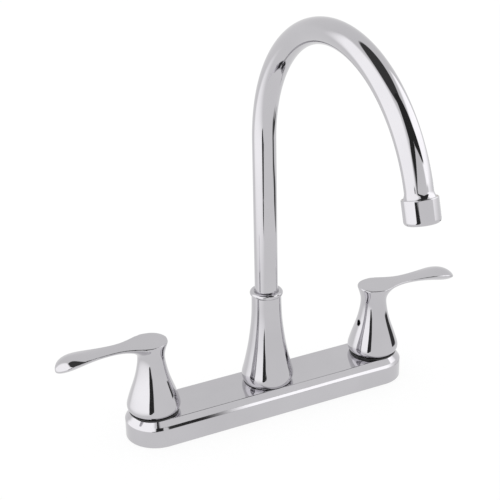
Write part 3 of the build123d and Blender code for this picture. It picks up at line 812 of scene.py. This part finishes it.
# %% Finishes of the CAD nodes
SLOT_OF = {
    "brass": ("valve_body", "shank", "plate_nut", "cartridge_housing", "cartridge_stem",
              "mounting_nut", "spout_post", "spout_end_fitting", "outlet_adapter"),
    "copper_tube": ("crossover_tube",),
    "steel": ("mounting_washer", "aerator_screen"),
    "black_oxide": ("set_screw",),
    "black_rubber": ("base_gasket", "seat_seal", "stem_o_ring", "spout_o_rings", "aerator_washer"),
    "white_nylon": ("spout_glide_washer", "spout_thrust_washer", "aerator_insert"),
    "ceramic": ("fixed_disc", "moving_disc"),
}
dressed = 0
for slot_name, endings in SLOT_OF.items():
    for node_name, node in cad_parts.items():
        if node_name.endswith(endings):
            node.data.materials.clear()
            node.data.materials.append(FINISHES[slot_name])
            dressed += 1
print("CAD nodes with a finish:", dressed)

# %% [markdown]
# ## Studio
# Chrome has no look of its own: it shows the room. The photograph's reflections give that room
# away. There is a large soft box on the left and one high on the right, a narrow black strip beside
# the camera and three large black flags in front, high up, with a gap that the tube shows as a
# light wedge. Small cards close to the plate and the riser draw the thin lines there. One picture
# of a studio round everything would do as well, but cards can be moved one by one until each
# reflection sits where it should. All cards are seen only in reflections. The world lights
# everything evenly and is white behind the object.

# %% Floor
FLOOR_HALF = 4000.0
FLOOR_Z = -0.2
FLOOR_TONE = 0.95
FLOOR_GLOW, GLOW_SHARE = 1.1, 0.75   # part of what the camera sees is glow, the rest keeps shadows


def floor_finish():
    material = bpy.data.materials.new("white_floor")
    material.use_nodes = True
    tree = material.node_tree
    tree.nodes.clear()
    out = tree.nodes.new("ShaderNodeOutputMaterial")
    plain = tree.nodes.new("ShaderNodeBsdfDiffuse")
    plain.inputs["Color"].default_value = (FLOOR_TONE, FLOOR_TONE, FLOOR_TONE, 1)
    white = tree.nodes.new("ShaderNodeEmission")
    white.inputs["Strength"].default_value = FLOOR_GLOW
    rays = tree.nodes.new("ShaderNodeLightPath")
    share = tree.nodes.new("ShaderNodeMath")
    share.operation = "MULTIPLY"
    share.inputs[1].default_value = GLOW_SHARE
    tree.links.new(rays.outputs["Is Camera Ray"], share.inputs[0])
    mix = tree.nodes.new("ShaderNodeMixShader")
    tree.links.new(share.outputs[0], mix.inputs["Fac"])
    tree.links.new(plain.outputs[0], mix.inputs[1])
    tree.links.new(white.outputs[0], mix.inputs[2])
    tree.links.new(mix.outputs[0], out.inputs["Surface"])
    return material


corners = [(-FLOOR_HALF, -FLOOR_HALF, FLOOR_Z), (FLOOR_HALF, -FLOOR_HALF, FLOOR_Z),
           (FLOOR_HALF, FLOOR_HALF, FLOOR_Z), (-FLOOR_HALF, FLOOR_HALF, FLOOR_Z)]
floor_mesh = bpy.data.meshes.new("floor")
floor_mesh.from_pydata([Vector(p) * MM for p in corners], [], [(0, 1, 2, 3)])
floor_mesh.materials.append(floor_finish())
floor = bpy.data.objects.new("floor", floor_mesh)
bpy.context.collection.objects.link(floor)
floor.visible_glossy = False
print("floor at", FLOOR_Z, "mm")

# %% World: white to the camera, even light on matt faces, a room with a dark ceiling to the chrome
# Upward part of the direction, from and to, and the strength of light at both
ROOM_SIDES = (0.0, 0.4, 0.86, 0.82)
ROOM_CEILING = (0.875, 0.905, 1.0, 0.07)
EVEN_LIGHT, WHITE_BEHIND = 0.8, 1.0


def studio_world():
    world = bpy.data.worlds.new("studio")
    world.use_nodes = True
    tree = world.node_tree
    tree.nodes.clear()
    add, link = tree.nodes.new, tree.links.new
    out = add("ShaderNodeOutputWorld")
    place = add("ShaderNodeTexCoord")
    split = add("ShaderNodeSeparateXYZ")
    link(place.outputs["Generated"], split.inputs[0])
    levels = []
    for numbers in (ROOM_SIDES, ROOM_CEILING):
        level = add("ShaderNodeMapRange")
        level.interpolation_type = "SMOOTHSTEP"
        for key, number in zip(("From Min", "From Max", "To Min", "To Max"), numbers):
            level.inputs[key].default_value = number
        link(split.outputs["Z"], level.inputs["Value"])
        levels.append(level.outputs["Result"])
    room = add("ShaderNodeMath")
    room.operation = "MULTIPLY"
    link(levels[0], room.inputs[0])
    link(levels[1], room.inputs[1])
    rays = add("ShaderNodeLightPath")
    dim = add("ShaderNodeBackground")
    link(room.outputs[0], dim.inputs["Strength"])
    even_light = add("ShaderNodeBackground")
    behind = add("ShaderNodeMapRange")
    behind.inputs["To Min"].default_value = EVEN_LIGHT
    behind.inputs["To Max"].default_value = WHITE_BEHIND
    link(rays.outputs["Is Camera Ray"], behind.inputs["Value"])
    link(behind.outputs["Result"], even_light.inputs["Strength"])
    for light in (dim, even_light):
        light.inputs["Color"].default_value = (1, 1, 1, 1)
    mix = add("ShaderNodeMixShader")
    link(rays.outputs["Is Glossy Ray"], mix.inputs["Fac"])
    link(even_light.outputs[0], mix.inputs[1])
    link(dim.outputs[0], mix.inputs[2])
    link(mix.outputs[0], out.inputs["Surface"])
    return world


bpy.context.scene.world = studio_world()
print("world:", bpy.context.scene.world.name)


# %% Cards
def card_finish(name, level, soft):
    """Even light or dark, fading out over a share of the card's width and height at its edges."""
    material = bpy.data.materials.new(name)
    material.use_nodes = True
    tree = material.node_tree
    tree.nodes.clear()
    add, link = tree.nodes.new, tree.links.new
    out = add("ShaderNodeOutputMaterial")
    glow = add("ShaderNodeEmission")
    glow.inputs["Strength"].default_value = level
    clear = add("ShaderNodeBsdfTransparent")
    place = add("ShaderNodeUVMap")
    place.uv_map = "card"
    split = add("ShaderNodeSeparateXYZ")
    link(place.outputs["UV"], split.inputs[0])

    # One soft ramp for each of the four edges, all multiplied
    edges = []
    for axis, share in zip("XY", soft):
        for start, end in ((0.0, share), (1.0, 1.0 - share)):
            node = add("ShaderNodeMapRange")
            node.interpolation_type = "SMOOTHSTEP"
            node.inputs["From Min"].default_value = start
            node.inputs["From Max"].default_value = end
            link(split.outputs[axis], node.inputs["Value"])
            edges.append(node.outputs["Result"])
    whole = edges[0]
    for edge in edges[1:]:
        node = add("ShaderNodeMath")
        node.operation = "MULTIPLY"
        link(whole, node.inputs[0])
        link(edge, node.inputs[1])
        whole = node.outputs[0]

    mix = add("ShaderNodeMixShader")
    link(whole, mix.inputs["Fac"])
    link(clear.outputs[0], mix.inputs[1])
    link(glow.outputs[0], mix.inputs[2])
    link(mix.outputs[0], out.inputs["Surface"])
    return material


CARD_ROWS = 12


def studio_card(name, centre, turns, size, level, soft, foot=1.0):
    """turns: the way it faces, its tilt and its lean, in degrees. soft: widths of its soft edges.
    foot: its width at the bottom over that at the top."""
    facing, tilt, lean = (radians(t) for t in turns)
    front = Vector((cos(facing) * cos(tilt), sin(facing) * cos(tilt), sin(tilt)))
    rise = Vector((0, 0, 1))
    rise = (rise - front * rise.dot(front)).normalized()
    across = rise.cross(front)
    up = rise * cos(lean) + across * sin(lean)
    right = across * cos(lean) - rise * sin(lean)
    w, h = size[0] + soft[0], size[1] + soft[1]
    points, faces, places = [], [], []
    for k in range(CARD_ROWS + 1):
        v = k / CARD_ROWS
        for u in (0, 1):
            sideways = right * (u - 0.5) * w * (foot + (1 - foot) * v)
            points.append(Vector(centre) + sideways + up * (v - 0.5) * h)
            places.append((u, v))
    for k in range(CARD_ROWS):
        faces.append((2 * k, 2 * k + 1, 2 * k + 3, 2 * k + 2))
    mesh = bpy.data.meshes.new(name)
    mesh.from_pydata([p * MM for p in points], [], faces)
    layer = mesh.uv_layers.new(name="card")
    for loop in mesh.loops:
        layer.data[loop.index].uv = places[loop.vertex_index]
    mesh.materials.append(card_finish(name, level, (soft[0] / w, soft[1] / h)))
    obj = bpy.data.objects.new(name, mesh)
    bpy.context.collection.objects.link(obj)
    obj.visible_camera = False
    obj.visible_diffuse = False
    obj.visible_shadow = False


# Name, centre in mm, turns, size in mm, level of light, soft edges in mm and foot
CARDS = [
    ("left_soft_box", (-480, -57, 450), (0, -3, 0), (1135, 1100), 1.4, (300, 350)),
    ("right_soft_box", (617, -332, 620), (163, 0, 0), (760, 720), 1.6, (60, 300)),
    ("plate_strip", (262, -420, 340), (90, 0, 0), (230, 80), 1.6, (70, 20)),
    ("plate_card", (75, -91, 138), (90, -60, 0), (386, 50), 0.857, (20, 10)),
    ("black_strip", (-345, -442, 150), (50, 0, -10), (176, 244), 0.03, (14, 14)),
    ("black_strip_low", (-387, -406, -18), (50, 0, -23), (165, 136), 0.03, (14, 14), 0.35),
    ("flag_left", (-778, -1200, 770), (90, 0, 36), (1669, 520), 0.03, (60, 40)),
    ("flag_right", (800, -1200, 1268), (90, 0, -23.6), (1200, 1000), 0.03, (60, 40)),
    ("flag_middle", (240, -1210, 2300), (90, 0, 0), (1780, 2400), 0.03, (80, 60)),
    ("floor_end_right", (500, -65, -15), (180, 0, -8.5), (237, 69), 0.05, (20, 12)),
    ("riser_shade", (137, -62, 184), (156, 0, 0), (50, 80), 0.08, (8, 30)),
]
for row in CARDS:
    studio_card(*row)
print("studio cards:", len(CARDS))

# %% [markdown]
# ## Last steps
# Colours are shown as they are, with the Standard view.

# %% View
bpy.context.scene.view_settings.view_transform = "Standard"
